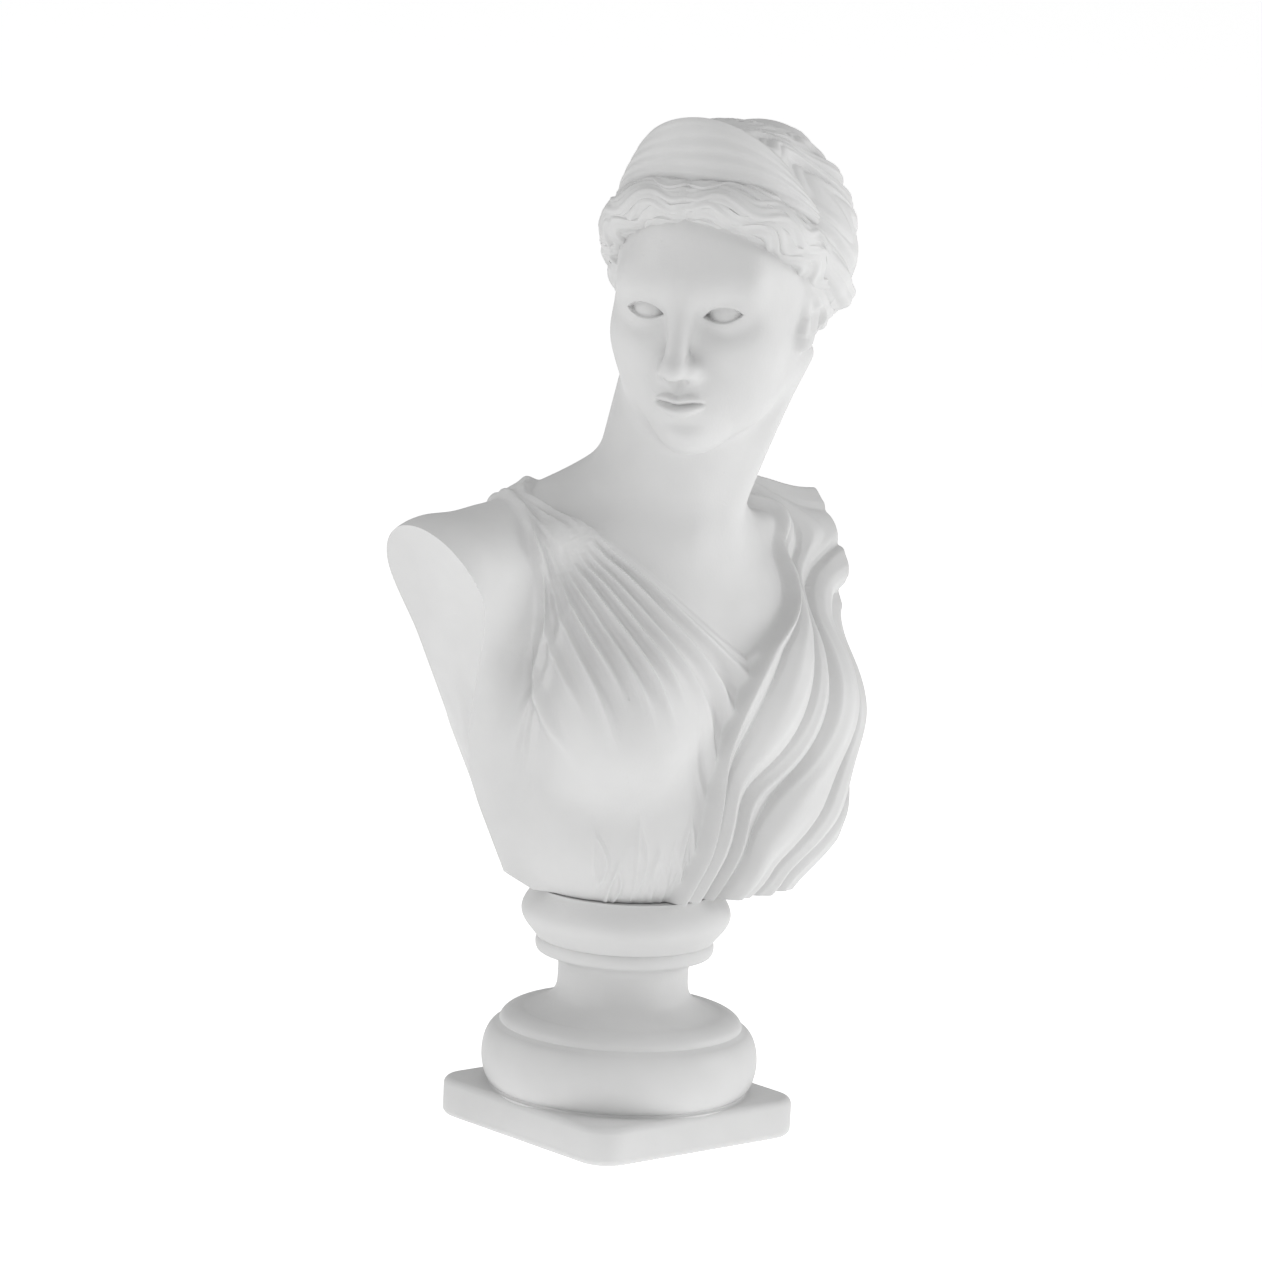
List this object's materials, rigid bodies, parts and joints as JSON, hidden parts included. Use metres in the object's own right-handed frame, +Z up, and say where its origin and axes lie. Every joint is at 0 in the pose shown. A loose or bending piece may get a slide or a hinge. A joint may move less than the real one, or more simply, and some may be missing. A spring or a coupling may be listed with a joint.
{
  "type": "classical bust on socle",
  "caption": "White cast resin bust of a draped woman wearing a diadem, head turned to the side, standing on a turned socle with a square foot.",
  "frame": {"origin": "centre of the square foot's underside, on the turned socle's axis", "axes": "+Z up; the figure's chest faces -Y and the figure's left side is +X; the foot's sides run along X and Y"},
  "size_m": [0.1446, 0.1, 0.2962],
  "materials": {
    "bust_resin": "matte cast resin with a faint sheen",
    "socle_resin": "matte cast resin with a faint sheen"
  },
  "bodies": {
    "root": {"bust": "bust_resin", "socle": "socle_resin"}
  },
  "joints": []
}
